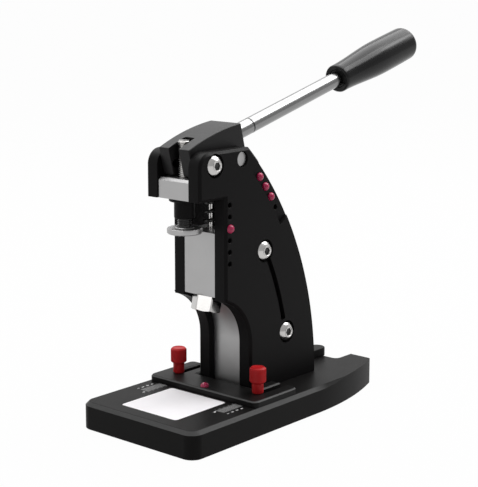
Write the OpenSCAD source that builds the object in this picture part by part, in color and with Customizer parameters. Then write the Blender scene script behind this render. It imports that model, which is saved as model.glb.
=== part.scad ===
// Hand press for leather work: a black base plate with an inlaid cutting pad, two side
// plates that stand on it, and a lever that drives a ram down through the open front.
// Millimetres. The origin is on the underside of the base, straight below the ram.
// +X is to the right, the front edge of the base faces -Y and +Z is up.

/* [Base] */
// Width of the base plate
base_w = 120; // [110:1:150]
// Length of the base plate, front to rear
base_l = 245; // [225:1:290]
// Thickness of the base plate
base_t = 21.6; // [14:0.1:30]
// Distance from the front edge to the ram axis
base_reach = 56.5; // [50:0.5:64]
// Radius of the two front corners
base_corner_r = 10; // [6:1:16]
// Bevel along the top edge
base_bevel = 3; // [1:0.5:5]
// Radius of the long curves that narrow the tail
tail_curve_r = 255; // [200:5:300]
// Distance behind the ram axis where the tail starts to narrow
tail_start = 94; // [80:0.5:110]
// Width of the notch in the rear edge
notch_w = 42; // [30:1:46]
// Depth of the notch in the rear edge
notch_l = 20.5; // [14:0.5:26]
// Corner radius inside the notch
notch_r = 5; // [2:0.5:7]

/* [Cutting pad] */
// Width of the inlaid pad
pad_w = 58.6; // [50:0.2:64]
// Length of the inlaid pad
pad_l = 57.3; // [50:0.1:58]
// Distance of the pad's front edge ahead of the ram axis
pad_front = 42.3; // [41:0.1:48]
// Thickness of the pad
pad_t = 5; // [3:0.5:8]
// Corner radius of the pad
pad_r = 3; // [1:0.5:6]

/* [Side plates] */
// Thickness of each side plate
plate_t = 12; // [10:0.5:16]
// Gap between the two side plates
plate_gap = 32; // [30:0.5:38]
// Height of the side plates above the base
plate_h = 197; // [195:0.5:205]
// How far the nose reaches in front of the ram axis
nose_front = 13.1; // [12.6:0.1:16]
// Height of the underside of the nose above the base
nose_under = 160; // [158:0.5:161]
// Radius of the upper front corner
nose_r = 12; // [6:0.5:14]
// Distance behind the ram axis of the front of the body
body_front = 16.1; // [15.6:0.1:18]
// Distance behind the ram axis of the rear wall of the throat
throat_back = 45.3; // [43:0.1:48]
// Radius of the arch over the throat
throat_r = 40.5; // [38:0.5:43]
// Height of the arch centre above the base
throat_z = 39.8; // [37:0.1:42]
// Radius of the long rear curve
back_r = 270; // [268:1:280]
// Distance behind the ram axis of the rear of the foot
foot_back = 129.5; // [128:0.5:140]
// Length of the flat top, behind the ram axis
top_back = 45.7; // [44:0.1:48]

/* [Spacers between the plates] */
// Height of the top of the upper spacer above the base
spacer_top = 131.8; // [126:0.2:134]
// Height of the lower front edge of the upper spacer above the base
spacer_low = 81; // [80:0.2:84]
// Tilt of the joint between the two spacers
joint_tilt = 15; // [13:0.5:16]
// How far the front of the lower spacer lies behind the arch
spacer_inset = 6; // [4:0.5:8]
// How far the spacers stay inside the rear curve
spacer_back = 8; // [5:0.5:10]

/* [Screws and pins] */
// Thread diameter of the large button screws
screw_d = 10; // [8:0.5:10.5]
// Head diameter of the large button screws
screw_head_d = 17.5; // [16:0.5:18]
// Head height of the large button screws
screw_head_h = 5.5; // [5:0.1:6]
// Depth of the head recess in the plate
screw_recess = 2.5; // [2:0.1:3]
// Diameter of the lever's pivot pin
pivot_d = 12; // [10:0.5:13]
// Distance of the upper frame screw behind the ram axis
upper_screw_y = 63.1; // [56:0.1:66]
// Height of the upper frame screw above the base
upper_screw_z = 112.5; // [108:0.5:116]
// Distance of the lower frame screw from the centre of the rear curve
lower_screw_reach = 231.2; // [228:0.2:236]
// Height of the lower frame screw above the base
lower_screw_z = 41.3; // [36:0.1:46]
// Distance of the nose screw behind the ram axis
nose_screw_y = 4.5; // [2:0.1:6]
// Height of the nose screw above the base
nose_screw_z = 186.5; // [184:0.1:187]
// How far the pivot pin's ends lie inside the plates
pivot_recess = 1.8; // [1:0.1:3]
// Diameter of the domed heads of the index pins
pin_head_d = 7; // [6:0.5:8]
// Diameter of the index pin holes
pin_hole_d = 4; // [3:0.5:5]
// Distance between index pin holes
pin_pitch = 9.2; // [8:0.1:10]
// Number of holes in the upright row
pin_rows = 6; // [3:1:6]

/* [Lever] */
// Distance of the pivot behind the ram axis
pivot_y = 35.7; // [35:0.1:36.5]
// Height of the pivot above the base
pivot_z = 188.6; // [188:0.1:189]
// Tilt of the lever at rest
lever_tilt = 14.7; // [14:0.1:16]
// Distance of the head's front face ahead of the pivot
head_front = 43.35; // [43:0.05:45]
// Distance of the head's rear face behind the pivot
head_back = 18.3; // [16:0.1:22]
// Height of the crown above the pivot
head_crown = 24.3; // [23:0.1:26]
// Radius of the crown
crown_r = 200; // [150:5:260]
// Width of the fork slot in the head
fork_w = 10.6; // [10.6:0.1:11.4]
// Diameter of the lever rod
rod_d = 13; // [10:0.5:14]
// Height of the rod's axis above the pivot, along the lever's frame
rod_rise = 9.4; // [9:0.1:10]
// Free length of the rod between the head and the grip
rod_free = 144.5; // [100:0.5:180]
// Depth of the rod's end in the head and in the grip
rod_seat = 12; // [8:0.5:12]
// Length of the grip
grip_l = 107; // [90:1:130]
// Diameter of the grip at its neck
grip_neck_d = 24.2; // [20:0.1:26]
// Largest diameter of the grip
grip_d = 30.5; // [26:0.5:36]
// Radius of the rounded edge at the grip's far end
grip_end_r = 6; // [3:0.5:8]
// Distance of the turned mark on the rod behind the head
rod_mark = 24.5; // [15:0.5:60]

/* [Ram] */
// Travel of the ram
ram_stroke = 17; // [12:0.5:17]
// Height of the crosshead block
crosshead_h = 16; // [15:0.2:16.2]
// Distance of the crosshead's front face ahead of the ram axis
crosshead_front = 12.1; // [11.6:0.1:12.6]
// Distance of the crosshead's rear face behind the ram axis
crosshead_back = 43.5; // [41:0.1:45]
// Diameter of the threaded ram rod
ram_d = 10; // [8:0.5:10]
// Height of the top of the ram rod above the base
ram_top = 204.5; // [200:0.5:208]
// Diameter of the cross pin through the ram rod
cross_d = 5; // [4:0.2:5]
// Height of the cross pin below the pivot
cross_drop = 1.4; // [1:0.1:1.8]
// Diameter of the flange under the crosshead
flange_d = 24; // [22:0.5:26]
// Thickness of the flange
flange_t = 2.3; // [1.5:0.1:3]
// Diameter of the ram holder
holder_d = 16.2; // [15:0.1:18]
// Length of the ram holder
holder_l = 13.2; // [12:0.1:14]
// Diameter of the neck of the die adapter
neck_d = 11; // [10:0.5:12]
// Length of the neck of the die adapter
neck_l = 7.5; // [6:0.1:8]
// Diameter of the disc of the die adapter
disc_d = 27.3; // [25:0.1:28]
// Thickness of the disc of the die adapter
disc_t = 4.5; // [3:0.1:6]
// Diameter of the die socket
socket_d = 6; // [4:0.2:7]
// Depth of the die socket
socket_l = 9; // [6:0.2:10]

/* [Return spring] */
// Distance of the spring behind the ram axis
spring_y = 31.2; // [30:0.1:32]
// Outer diameter of the spring
spring_d = 14; // [12:0.2:14.4]
// Diameter of the spring wire
wire_d = 2.5; // [1.8:0.1:2.6]
// Number of curls
curls = 5; // [4:0.5:5.5]
// Depth of the spring pocket in the crosshead
pocket_l = 10; // [8:0.2:11]
// Diameter of the guide post
post_d = 6; // [5:0.2:7]

/* [Back stop] */
// Width of the stop plate
stop_w = 114; // [104:1:118]
// Distance of the stop plate's front edge behind the ram axis
stop_front = 16.8; // [16:0.1:22]
// Length of the stop plate
stop_l = 52.5; // [49:0.1:58]
// Thickness of the stop plate
stop_t = 5.2; // [3:0.1:6]
// Corner radius of the stop plate
stop_r = 5; // [2:0.5:7]
// Distance of each thumb screw from the centre plane
thumb_x = 42.5; // [40.5:0.1:45]
// Distance of the thumb screws behind the ram axis
thumb_y = 37; // [34:0.5:40]
// Thread diameter of the thumb screws
thumb_d = 5; // [4:0.5:6]
// Diameter of the knurled thumb head
thumb_head_d = 13; // [11:0.5:15]
// Height of the knurled thumb head
thumb_head_h = 12; // [9:0.5:15]
// Diameter of the stem under the thumb head
thumb_stem_d = 9.2; // [8.5:0.1:10]
// Height of the stem under the thumb head
thumb_stem_h = 8.8; // [6:0.1:14]
// Travel of the stop plate towards the front
stop_travel = 25; // [10:1:28]

/* [Tail] */
// Width of the anchor tongue
tongue_w = 14; // [12:0.5:18]
// Thickness of the anchor tongue
tongue_t = 7.3; // [4:0.1:8]
// How far the tongue's round end reaches over the notch
tongue_past = 5.8; // [2:0.1:8]

/* [Clearances] */
// Gap on each side of a piece that slides or swings between the plates
side_gap = 0.25; // [0.1:0.05:0.5]
// Radial gap of a turning or sliding round fit
run_gap = 0.05; // [0.02:0.01:0.1]
// Radial gap round a screw or a fixed pin
bolt_gap = 0.1; // [0.05:0.05:0.3]
// Gap under a plate that slides on another
slide_gap = 0.1; // [0.05:0.05:0.3]

/* [Hidden] */
$fn = 96;
// A cut reaches this far past the faces that it opens
past = 1;
half_gap = plate_gap / 2;
outer_x = half_gap + plate_t;
base_back = base_l - base_reach;
pad_gap = 0.1;
// Centre of the long rear curve, level with the top of the base
back_y = foot_back - back_r;
throat_y = throat_back - throat_r;
// Screws through the side plates, as distance behind the ram axis and height above the base
upper_screw = [upper_screw_y, upper_screw_z];
lower_screw = [back_y + lower_screw_reach, lower_screw_z];
nose_screw = [nose_screw_y, nose_screw_z];
frame_screw_l = 22;
nose_screw_l = plate_t - screw_recess - 1;
// Index pins: an upright row, and an arc in a shallow pocket of the rear edge
row_inset = 4.8;
row_y = body_front + row_inset;
row_low = 108.6;
row_pin = 3;
pin_hole_l = 7;
pin_shank_gap = 0.1;
rear_pocket_t = 3;
rear_pocket_w = 12;
rear_pins_inset = 6.7;
rear_pins_r = back_r - rear_pins_inset;
rear_pins_start = 33.5;
rear_pin_step = 2.42;
rear_pocket_start = 30.6;
rear_pocket_end = 43.2;
rear_holes = 4;
// Groove in the outer face that follows the rear curve between the screws
groove_r = norm([upper_screw.x - back_y, upper_screw.y]);
groove_w = 5;
groove_t = 4;
groove_low = 13;
groove_high = atan2(upper_screw.y, upper_screw.x - back_y);
// Screws that hold the side plates from below
foot_x = half_gap + plate_t / 2;
foot_front_inset = 14;
foot_rear_inset = 16;
foot_ys = [throat_back + foot_front_inset, foot_back - foot_rear_inset];
foot_d = 6;
foot_head_d = 10;
foot_head_h = 6;
foot_grip = 14;
// Ram, from the top down
crosshead_low = nose_under;
crosshead_top = crosshead_low + crosshead_h;
flange_low = crosshead_low - flange_t;
holder_low = flange_low - holder_l;
neck_low = holder_low - neck_l;
disc_low = neck_low - disc_t;
ram_low = disc_low + socket_l + 3;
cross_z = pivot_z - cross_drop;
// Lever head
head_w = plate_gap - 2 * side_gap;
head_gap = 1.5;
head_low = crosshead_top + head_gap;
rear_low_v = -2.1;
rear_toe = 8;
fork_end_u = 23.6;
fork_r = 1.5;
cross_play = 1;
// Path of the cross pin in the lever's frame, at rest and at the end of the stroke
lever_swing = 25;
function lever_u(dy, dz, t) = dy * cos(t) + dz * sin(t);
function lever_v(dy, dz, t) = dz * cos(t) - dy * sin(t);
rest_u = lever_u(-pivot_y, -cross_drop, lever_tilt);
rest_v = lever_v(-pivot_y, -cross_drop, lever_tilt);
end_u = lever_u(-pivot_y, -cross_drop - ram_stroke, lever_tilt + lever_swing);
end_v = lever_v(-pivot_y, -cross_drop - ram_stroke, lever_tilt + lever_swing);
slot_v = (rest_v + end_v) / 2 - 0.1;
slot_r = cross_d / 2 + cross_play;
slot_ease = 0.45;
// Spring and post
spring_low = spacer_top;
spring_top = crosshead_low + pocket_l;
post_top = crosshead_low + pocket_l;
post_seat = 20;
// Hexagon head in the joint plane under the upper spacer
hex_af = 21;
hex_h = 12;
hex_inset = 10;
hex_y = body_front + hex_inset;
hex_gap = 0.5;
hex_shank_l = 24;
// Stop plate
stop_low = slide_gap;
slot_front = thumb_y - (thumb_d + 2) / 2;
stop_slot_w = thumb_d + 2;
foot_notch_w = 2 * outer_x + 3;
foot_notch_y = throat_back - 1.5;
stop_pin_y = stop_front + pin_head_d / 2 + 1.7;
thumb_seat = 0.2;
thumb_reach = 12;
tongue_back = base_back - notch_l + tongue_past;

// Shared shapes

// A cylinder along X from x0 to x1
module bar_x(y, z, d, x0, x1) {
    translate([x0, y, z]) rotate([0, 90, 0]) cylinder(d = d, h = x1 - x0);
}

// A flat outline in Y and Z, extruded along X
module side_slab(x0, thick) {
    translate([x0, 0, 0]) rotate([90, 0, 90]) linear_extrude(thick) children();
}

// A block with round upright edges, centred on X
module round_block(w, y0, y1, z0, h, r) {
    for (x = [-w / 2 + r, w / 2 - r], y = [y0 + r, y1 - r])
        translate([x, y, z0]) cylinder(r = r, h = h);
    translate([-w / 2 + r, y0, z0]) cube([w - 2 * r, y1 - y0, h]);
    translate([-w / 2, y0 + r, z0]) cube([w, y1 - y0 - 2 * r, h]);
}

module on_base() {
    translate([0, 0, base_t]) children();
}

// A button screw whose head seats at z = 0 and whose shank runs down
module button_screw(d, head_d, head_h, length) {
    ball_r = (head_d * head_d / 4 + head_h * head_h) / (2 * head_h);
    difference() {
        union() {
            intersection() {
                translate([0, 0, head_h - ball_r]) sphere(ball_r);
                cylinder(d = head_d, h = head_h * 0.94);
            }
            translate([0, 0, -length]) cylinder(d = d, h = length + past);
        }
        translate([0, 0, head_h * 0.4]) cylinder(d = d * 0.7, h = head_h, $fn = 6);
    }
}

// A cap screw whose head seats at z = 0 from below and whose shank runs up
module cap_screw_up(d, head_d, head_h, length) {
    difference() {
        union() {
            translate([0, 0, -head_h]) cylinder(d = head_d, h = head_h);
            cylinder(d = d, h = length);
        }
        translate([0, 0, -head_h - past]) cylinder(d = d, h = head_h * 0.5 + past, $fn = 6);
    }
}

// An index pin with a domed head that seats at z = 0
module index_pin() {
    intersection() {
        sphere(d = pin_head_d);
        cylinder(d = pin_head_d, h = pin_head_d);
    }
    translate([0, 0, -pin_hole_l + past]) cylinder(d = pin_hole_d - 2 * pin_shank_gap, h = pin_hole_l);
}

// Base plate

module base_outline_solid(z0, h) {
    straight_l = tail_start + base_reach;
    tail_x = base_w / 2 - tail_curve_r;
    intersection() {
        translate([-base_w / 2, -base_reach, z0]) cube([base_w, base_l, h]);
        union() {
            translate([-base_w / 2, -base_reach, z0]) cube([base_w, straight_l, h]);
            intersection() {
                translate([tail_x, tail_start, z0]) cylinder(r = tail_curve_r, h = h, $fn = 360);
                translate([-tail_x, tail_start, z0]) cylinder(r = tail_curve_r, h = h, $fn = 360);
                translate([-base_w, tail_start - past, z0]) cube([2 * base_w, base_l, h]);
            }
        }
    }
}

module base_bevelled_slab() {
    c = base_corner_r;
    b = base_bevel;
    w = base_w / 2;
    low = base_t - b;
    // Straight sides
    translate([0, base_back, 0]) rotate([90, 0, 0]) linear_extrude(base_l - c)
        polygon([[-w, 0], [w, 0], [w, low], [w - b, base_t], [b - w, base_t], [-w, low]]);
    // Front edge
    side_slab(c - w, base_w - 2 * c)
        polygon([[-base_reach, 0], [-base_reach, low], [b - base_reach, base_t],
            [c + past - base_reach, base_t], [c + past - base_reach, 0]]);
    // Front corners
    for (x = [c - w, w - c]) translate([x, c - base_reach, 0]) {
        cylinder(r = c, h = low);
        translate([0, 0, low]) cylinder(r1 = c, r2 = c - b, h = b);
    }
}

module base_plate() {
    color([0.17, 0.17, 0.17]) difference() {
        intersection() {
            base_bevelled_slab();
            base_outline_solid(0, base_t);
        }
        round_block(notch_w, base_back - notch_l, base_back + 2 * notch_r, -past, base_t + 2 * past, notch_r);
        round_block(pad_w + 2 * pad_gap, -pad_front - pad_gap, pad_l - pad_front + pad_gap,
            base_t - pad_t, pad_t + past, pad_r);
        for (x = [-thumb_x, thumb_x]) translate([x, thumb_y, base_t - thumb_reach - past])
            cylinder(d = thumb_d + 2 * run_gap, h = thumb_reach + 2 * past);
        for (x = [-foot_x, foot_x], y = foot_ys) translate([x, y, -past]) {
            cylinder(d = foot_d + 2 * bolt_gap, h = base_t + 2 * past);
            cylinder(d = foot_head_d + 2 * bolt_gap, h = foot_head_h + 1 + past);
        }
        translate([0, tongue_mid(), -past]) {
            cylinder(d = foot_d + 2 * bolt_gap, h = base_t + 2 * past);
            cylinder(d = foot_head_d + 2 * bolt_gap, h = foot_head_h + 1 + past);
        }
    }
}

module cutting_pad() {
    color([0.96, 0.96, 0.95])
        round_block(pad_w, -pad_front, pad_l - pad_front, base_t - pad_t, pad_t, pad_r);
}

// Side plates

module plate_solid(x0) {
    difference() {
        intersection() {
            side_slab(x0, plate_t) polygon([[-nose_front, 0], [-nose_front, plate_h], [top_back, plate_h],
                [top_back + plate_h / 2, plate_h / 2], [foot_back + past, 0]]);
            bar_x(back_y, 0, 2 * back_r, x0, x0 + plate_t, $fn = 720);
        }
        // Open front below the nose, and the throat with its arch
        translate([x0 - past, -nose_front - past, -past])
            cube([plate_t + 2 * past, nose_front + body_front + past, nose_under + past]);
        translate([x0 - past, 0, -past]) cube([plate_t + 2 * past, throat_back, throat_z + past]);
        bar_x(throat_y, throat_z, 2 * throat_r, x0 - past, x0 + plate_t + past);
        // Round upper front corner
        difference() {
            translate([x0 - past, -nose_front - past, plate_h - nose_r])
                cube([plate_t + 2 * past, nose_r + past, nose_r + past]);
            bar_x(nose_r - nose_front, plate_h - nose_r, 2 * nose_r, x0 - 2 * past, x0 + plate_t + 2 * past);
        }
        bar_x(pivot_y, pivot_z, pivot_d + 2 * bolt_gap, x0 - past, x0 + plate_t + past);
        for (y = foot_ys) translate([x0 + plate_t / 2, y, -past])
            cylinder(d = foot_d + 2 * bolt_gap, h = foot_grip + 2 * past);
    }
}

// Screw holes and head recesses, cut from the outer face of the right plate inwards
module plate_screw_holes() {
    for (s = [upper_screw, lower_screw, nose_screw]) {
        bar_x(s.x, s.y, screw_d + 2 * bolt_gap, half_gap - past, outer_x + past);
        bar_x(s.x, s.y, screw_head_d + 1, outer_x - screw_recess, outer_x + past);
    }
}

module groove_cut() {
    x0 = outer_x - groove_t;
    intersection() {
        difference() {
            bar_x(back_y, 0, 2 * groove_r + groove_w, x0, outer_x + past, $fn = 360);
            bar_x(back_y, 0, 2 * groove_r - groove_w, x0 - past, outer_x + 2 * past, $fn = 360);
        }
        side_slab(x0 - past, groove_t + 3 * past) translate([back_y, 0])
            polygon([[0, 0], 2 * groove_r * [cos(groove_low), sin(groove_low)],
                2 * groove_r * [cos(groove_high), sin(groove_high)]]);
    }
}

module rear_pocket_cut() {
    x0 = outer_x - rear_pocket_t;
    intersection() {
        difference() {
            bar_x(back_y, 0, 2 * back_r + 2, x0, outer_x + past, $fn = 360);
            bar_x(back_y, 0, 2 * (back_r - rear_pocket_w), x0 - past, outer_x + 2 * past, $fn = 360);
        }
        side_slab(x0 - past, rear_pocket_t + 3 * past) translate([back_y, 0])
            polygon([[0, 0], 2 * back_r * [cos(rear_pocket_start), sin(rear_pocket_start)],
                2 * back_r * [cos(rear_pocket_end), sin(rear_pocket_end)]]);
    }
}

function row_place(i) = [row_y, row_low + i * pin_pitch];
function rear_angle(i) = rear_pins_start + i * rear_pin_step;
function rear_place(i) = [back_y + rear_pins_r * cos(rear_angle(i)), rear_pins_r * sin(rear_angle(i))];

module side_plate_right() {
    color([0.11, 0.11, 0.12]) on_base() difference() {
        plate_solid(half_gap);
        plate_screw_holes();
        groove_cut();
        rear_pocket_cut();
        for (i = [0 : pin_rows - 1])
            bar_x(row_place(i).x, row_place(i).y, pin_hole_d, outer_x - pin_hole_l, outer_x + past);
        for (i = [0 : rear_holes - 1])
            bar_x(rear_place(i).x, rear_place(i).y, pin_hole_d,
                outer_x - rear_pocket_t - pin_hole_l, outer_x + past);
    }
}

module side_plate_left() {
    color([0.11, 0.11, 0.12]) on_base() difference() {
        plate_solid(-outer_x);
        mirror([1, 0, 0]) plate_screw_holes();
    }
}

// Spacers between the plates

module spacer_back_limit() {
    bar_x(back_y, 0, 2 * (back_r - spacer_back), -half_gap, half_gap, $fn = 720);
}

// The joint between the spacers falls to the rear from the lower front edge of the upper one
function joint_z(y) = spacer_low - (y - body_front) * tan(joint_tilt);

module spacer_screw_holes() {
    for (s = [upper_screw, lower_screw])
        bar_x(s.x, s.y, screw_d + 2 * bolt_gap, -half_gap - past, half_gap + past);
}

module upper_spacer() {
    far = foot_back;
    color([0.66, 0.65, 0.65]) on_base() difference() {
        intersection() {
            side_slab(-half_gap, plate_gap) polygon([[body_front + 0.4, joint_z(body_front + 0.4)],
                [body_front + 0.4, spacer_top], [far, spacer_top], [far, joint_z(far)]]);
            spacer_back_limit();
        }
        spacer_screw_holes();
        translate([0, spring_y, spacer_top - post_seat])
            cylinder(d = post_d + 2 * bolt_gap, h = post_seat + past);
        hex_bolt_frame() cylinder(d = screw_d + 2 * bolt_gap, h = hex_shank_l + past);
    }
}

module lower_spacer() {
    far = foot_back + past;
    color([0.62, 0.61, 0.61]) on_base() difference() {
        intersection() {
            side_slab(-half_gap, plate_gap)
                polygon([[throat_y, 0], [throat_y, joint_z(throat_y)], [far, joint_z(far)], [far, 0]]);
            spacer_back_limit();
        }
        translate([-outer_x, 0, -past]) cube([2 * outer_x, throat_back + spacer_inset, throat_z + past]);
        bar_x(throat_y, throat_z, 2 * (throat_r + spacer_inset), -outer_x, outer_x);
        // Round recess that clears the hexagon head
        hex_bolt_frame() translate([0, 0, -hex_h - past])
            cylinder(d = hex_af / cos(30) + 2 * hex_gap, h = hex_h + 2 * past);
        spacer_screw_holes();
    }
}

// Places its children on the tilted joint plane, with z up into the upper spacer
module hex_bolt_frame() {
    translate([0, hex_y, joint_z(hex_y)]) rotate([-joint_tilt, 0, 0]) children();
}

module hex_bolt() {
    color([0.82, 0.82, 0.82]) on_base() hex_bolt_frame() {
        translate([0, 0, -hex_h]) rotate([0, 0, 30]) cylinder(d = hex_af / cos(30), h = hex_h, $fn = 6);
        translate([0, 0, -past]) cylinder(d = screw_d, h = hex_shank_l + past);
    }
}

// Screws and pins

module frame_screws() {
    color([0.75, 0.75, 0.75]) on_base() for (side = [0, 1], s = [upper_screw, lower_screw])
        mirror([side, 0, 0]) translate([outer_x - screw_recess, s.x, s.y]) rotate([0, 90, 0])
            button_screw(screw_d, screw_head_d, screw_head_h, frame_screw_l);
}

module nose_screws() {
    color([0.75, 0.75, 0.75]) on_base() for (side = [0, 1])
        mirror([side, 0, 0]) translate([outer_x - screw_recess, nose_screw.x, nose_screw.y])
            rotate([0, 90, 0]) button_screw(screw_d, screw_head_d, screw_head_h, nose_screw_l);
}

module foot_screws() {
    color([0.3, 0.3, 0.3]) for (x = [-foot_x, foot_x], y = foot_ys)
        translate([x, y, foot_head_h + 1])
            cap_screw_up(foot_d, foot_head_d, foot_head_h, base_t - foot_head_h - 1 + foot_grip);
}

module pivot_pin() {
    reach = outer_x - pivot_recess;
    color([0.7, 0.7, 0.7]) on_base() bar_x(pivot_y, pivot_z, pivot_d, -reach, reach);
}

module index_pins() {
    color([0.69, 0.18, 0.35]) on_base() {
        translate([outer_x, row_place(row_pin).x, row_place(row_pin).y]) rotate([0, 90, 0]) index_pin();
        for (i = [1 : rear_holes - 1])
            translate([outer_x - rear_pocket_t, rear_place(i).x, rear_place(i).y])
                rotate([0, 90, 0]) index_pin();
    }
}

module guide_post() {
    color([0.8, 0.8, 0.8]) on_base() translate([0, spring_y, spacer_top - post_seat])
        cylinder(d = post_d, h = post_top + post_seat - spacer_top);
}

// Return spring: one unbroken tube of six sides, eight rings to a curl

spring_rings = 8;
spring_sides = 6;
ring_count = floor(curls * spring_rings);
coil_r = (spring_d - wire_d) / 2;
coil_low = spring_low + wire_d / 2;
coil_rise = spring_top - spring_low - wire_d;
function coil_point(i) = let (a = 360 * i / spring_rings)
    [coil_r * cos(a), coil_r * sin(a), coil_low + coil_rise * i / ring_count];
function tube_point(i, k) = let (a = 360 * i / spring_rings, b = 360 * k / spring_sides, c = coil_point(i))
    c + wire_d / 2 * [cos(b) * cos(a), cos(b) * sin(a), sin(b)];
tube_points = [for (i = [0 : ring_count], k = [0 : spring_sides - 1]) tube_point(i, k)];
tube_faces = concat(
    [for (i = [0 : ring_count - 1], k = [0 : spring_sides - 1]) let (n = (k + 1) % spring_sides)
        [i * spring_sides + k, (i + 1) * spring_sides + k, (i + 1) * spring_sides + n]],
    [for (i = [0 : ring_count - 1], k = [0 : spring_sides - 1]) let (n = (k + 1) % spring_sides)
        [i * spring_sides + k, (i + 1) * spring_sides + n, i * spring_sides + n]],
    [for (k = [1 : spring_sides - 2]) [0, k, k + 1]],
    [for (k = [1 : spring_sides - 2]) let (e = ring_count * spring_sides) [e, e + k + 1, e + k]]);
spring_gap = min([for (i = [0 : ring_count - spring_rings], k = [0 : spring_sides - 1],
    j = [0 : spring_sides - 1]) norm(tube_point(i, k) - tube_point(i + spring_rings, j))]);
echo(least_gap_of_spring_to_itself = spring_gap);

module return_spring() {
    color([0.2, 0.2, 0.2]) on_base() translate([0, spring_y, 0])
        polyhedron(points = tube_points, faces = tube_faces);
}

// Tail of the base

function tongue_front() = back_y + sqrt(pow(back_r - spacer_back, 2)) + 0.1;
function tongue_mid() = (tongue_front() + base_back - notch_l) / 2;

module anchor_tongue() {
    front = tongue_front();
    color([0.2, 0.2, 0.2]) on_base() difference() {
        union() {
            translate([-tongue_w / 2, front, 0])
                cube([tongue_w, tongue_back - tongue_w / 2 - front, tongue_t]);
            translate([0, tongue_back - tongue_w / 2, 0]) cylinder(d = tongue_w, h = tongue_t);
        }
        translate([0, tongue_mid(), -past]) cylinder(d = foot_d + 2 * bolt_gap, h = tongue_t - 0.5);
    }
}

module tongue_screw() {
    color([0.3, 0.3, 0.3]) translate([0, tongue_mid(), foot_head_h + 1])
        cap_screw_up(foot_d, foot_head_d, foot_head_h, base_t - foot_head_h - 1 + tongue_t - 2);
}

// Ram

module crosshead() {
    w = plate_gap - 2 * side_gap;
    bevel = 2;
    color([0.7, 0.69, 0.69]) on_base() difference() {
        side_slab(-w / 2, w) polygon([[-crosshead_front, crosshead_low],
            [-crosshead_front, crosshead_top - bevel], [bevel - crosshead_front, crosshead_top],
            [crosshead_back, crosshead_top], [crosshead_back, crosshead_low]]);
        translate([0, 0, crosshead_low - past]) cylinder(d = ram_d + 2 * bolt_gap, h = crosshead_h + 2 * past);
        translate([0, spring_y, crosshead_low - past]) {
            cylinder(d = spring_d + 1.2, h = pocket_l + past);
            cylinder(d = post_d + 2 * run_gap, h = crosshead_h + 2 * past);
        }
    }
}

module ram_rod() {
    color([0.75, 0.75, 0.75]) on_base() difference() {
        translate([0, 0, ram_low]) cylinder(d = ram_d, h = ram_top - ram_low);
        bar_x(0, cross_z, cross_d + 2 * bolt_gap, -ram_d, ram_d);
    }
}

module cross_pin() {
    reach = half_gap - 1;
    color([0.6, 0.6, 0.6]) on_base() bar_x(0, cross_z, cross_d, -reach, reach);
}

module ram_flange() {
    color([0.15, 0.15, 0.15]) on_base() translate([0, 0, flange_low]) difference() {
        cylinder(d = flange_d, h = flange_t);
        translate([0, 0, -past]) cylinder(d = ram_d + 2 * bolt_gap, h = flange_t + 2 * past);
    }
}

module ram_holder() {
    color([0.16, 0.16, 0.16]) on_base() translate([0, 0, holder_low]) difference() {
        cylinder(d = holder_d, h = holder_l);
        translate([0, 0, -past]) cylinder(d = ram_d + 2 * bolt_gap, h = holder_l + 2 * past);
    }
}

module die_adapter() {
    color([0.68, 0.67, 0.66]) on_base() difference() {
        union() {
            translate([0, 0, disc_low]) cylinder(d = disc_d, h = disc_t);
            translate([0, 0, neck_low]) cylinder(d = neck_d, h = neck_l);
        }
        translate([0, 0, disc_low - past]) cylinder(d = socket_d, h = socket_l + past);
        translate([0, 0, ram_low - bolt_gap]) cylinder(d = ram_d + 2 * bolt_gap, h = neck_l);
    }
}

// Lever, drawn in its own frame: u runs along the rod from the pivot, v stands square to it

module lever_frame() {
    on_base() translate([0, pivot_y, pivot_z]) rotate([lever_tilt, 0, 0]) children();
}

// Point of the lever's frame, on the level line z above the base, at distance u from the pivot
function level_v(u, z) = (z - pivot_z - u * sin(lever_tilt)) / cos(lever_tilt);

module lever_head() {
    toe_u = rear_toe;
    crown_u = (head_back - head_front) / 2;
    color([0.35, 0.35, 0.36]) lever_frame() difference() {
        intersection() {
            side_slab(-head_w / 2, head_w) polygon([[-head_front, level_v(-head_front, head_low)],
                [-head_front, head_crown], [head_back, head_crown], [head_back, rear_low_v],
                [toe_u, level_v(toe_u, head_low)]]);
            bar_x(crown_u, head_crown - crown_r, 2 * crown_r, -head_w / 2, head_w / 2, $fn = 720);
        }
        // Fork slot, open to the front, that straddles the ram rod
        round_block(fork_w, -head_front - past - 2 * fork_r, -fork_end_u, -pivot_z, 2 * pivot_z, fork_r);
        bar_x(0, 0, pivot_d + 2 * run_gap, -half_gap, half_gap);
        // Slot for the cross pin
        for (u = [rest_u - slot_ease, end_u + slot_ease])
            bar_x(u, slot_v, 2 * slot_r, -half_gap, half_gap);
        translate([-half_gap, end_u + slot_ease, slot_v - slot_r])
            cube([plate_gap, rest_u - end_u - 2 * slot_ease, 2 * slot_r]);
        lever_rod_bore();
    }
}

module lever_rod_bore() {
    translate([0, head_back - rod_seat, rod_rise]) rotate([-90, 0, 0])
        cylinder(d = rod_d + 2 * bolt_gap, h = rod_seat + past);
}

module lever_rod() {
    mark_u = head_back + rod_mark;
    color([0.72, 0.72, 0.72]) lever_frame() translate([0, 0, rod_rise]) rotate([-90, 0, 0]) difference() {
        translate([0, 0, head_back - rod_seat + 0.1]) cylinder(d = rod_d, h = rod_free + 2 * rod_seat - 0.2);
        translate([0, 0, mark_u]) difference() {
            cylinder(d = 2 * rod_d, h = 1.2);
            translate([0, 0, -past]) cylinder(d = rod_d - 1, h = 1.2 + 2 * past);
        }
    }
}

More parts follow.
